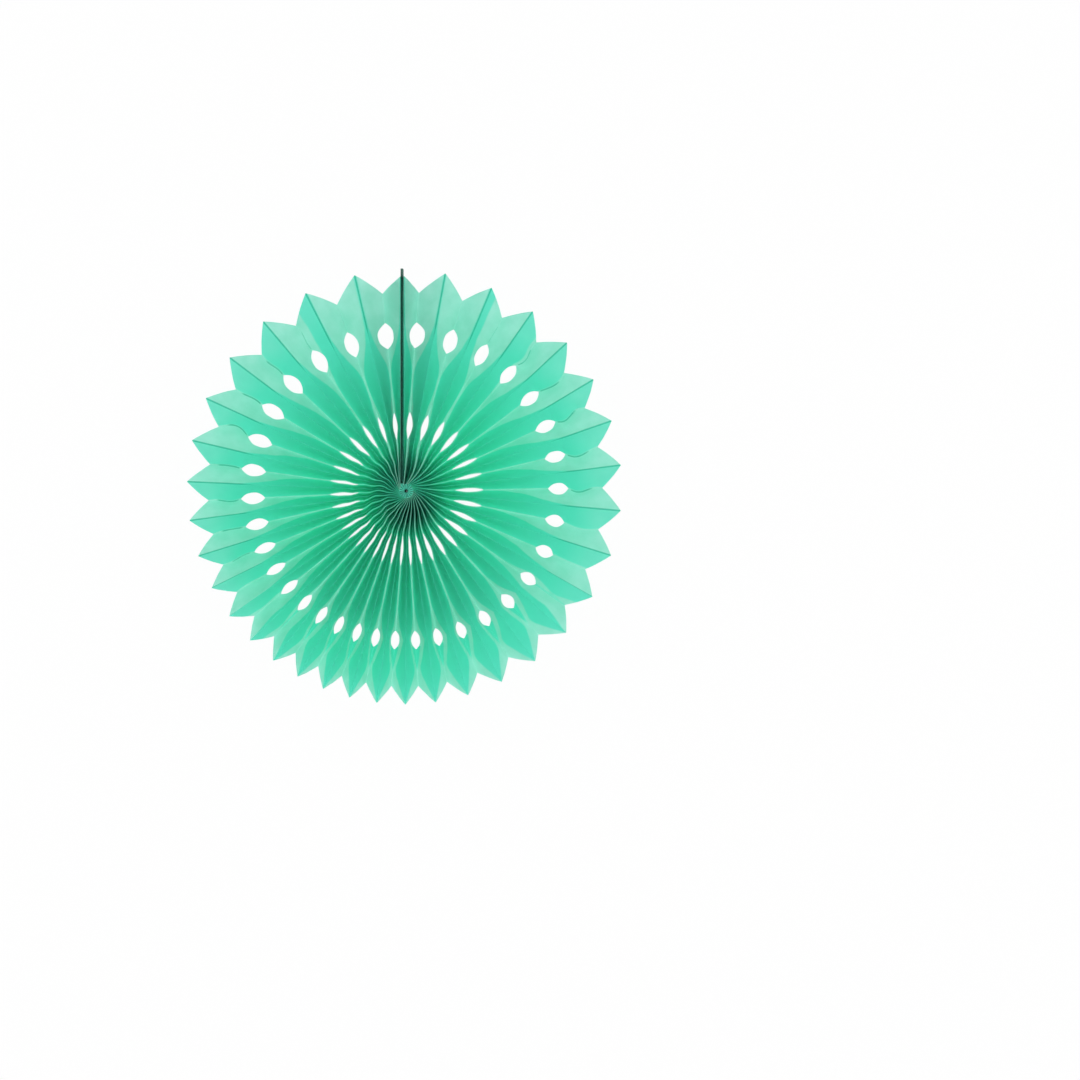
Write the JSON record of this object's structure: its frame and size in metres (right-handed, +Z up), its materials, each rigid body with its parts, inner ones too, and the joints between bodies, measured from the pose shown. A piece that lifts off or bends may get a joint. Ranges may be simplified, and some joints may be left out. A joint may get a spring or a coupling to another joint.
{
  "type": "paper fan rosette",
  "caption": "Round hanging rosette of pleated tissue, cut with teeth at the rim and rings of lens-shaped openings, joined between two end boards.",
  "frame": {"origin": "middle of the upper end of the two joined end boards, the point from which the rosette hangs", "axes": "+Z up, the rosette's face towards -Y, +X to the right seen from the front"},
  "size_m": [0.394, 0.0254, 0.3954],
  "materials": {
    "tissue": "matt translucent mint-green tissue",
    "thread": "matt twisted thread",
    "board": "matt dark grey board with raw cut edges",
    "adhesive": "matt double-sided strip"
  },
  "bodies": {
    "root": {"folded_tissue": "tissue", "binding_thread": "thread", "right_end_board": "board", "left_end_board": "board", "adhesive_strip": "adhesive"}
  },
  "joints": []
}
